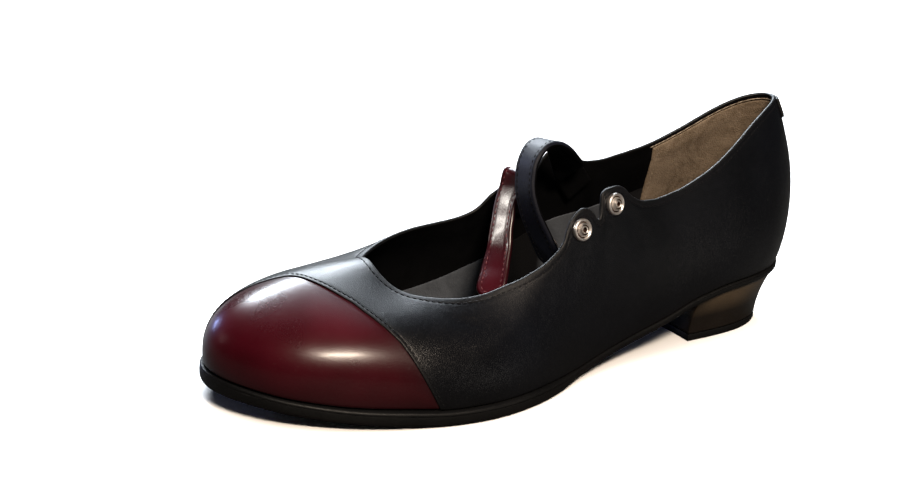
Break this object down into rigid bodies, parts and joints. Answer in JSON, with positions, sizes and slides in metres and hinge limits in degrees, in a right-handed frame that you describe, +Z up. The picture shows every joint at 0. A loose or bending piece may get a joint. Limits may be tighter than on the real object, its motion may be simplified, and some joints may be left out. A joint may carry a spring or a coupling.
{
  "type": "pump shoe",
  "caption": "Left low-heeled leather bar pump with a diagonal toe cap, two loose bars curled into the shoe and press studs on the outer side",
  "frame": {"origin": "middle of the flat underside of the heel's top lift, on the floor", "axes": "+X to the toe, +Y to the outer (lateral) side of the left foot, +Z up"},
  "size_m": [0.2553, 0.0879, 0.0872],
  "materials": {
    "black_leather": "smooth box calf, near-black navy, polished",
    "wine_leather": "polished burgundy calf",
    "insole_board": "matt dark grey sock leather",
    "sole_rubber": "matt black resin rubber",
    "heel_leather": "black leather-covered block",
    "stud_metal": "bright nickel plate"
  },
  "bodies": {
    "root": {"upper": "black_leather", "toe_cap": "wine_leather", "back_tab": "black_leather", "insole": "insole_board", "outsole": "sole_rubber", "heel_block": "heel_leather", "heel_top_lift": "sole_rubber", "bar_front": "wine_leather", "bar_rear": "black_leather", "stud_front": "stud_metal", "stud_rear": "stud_metal", "socket_front": "stud_metal", "socket_rear": "stud_metal"}
  },
  "joints": []
}
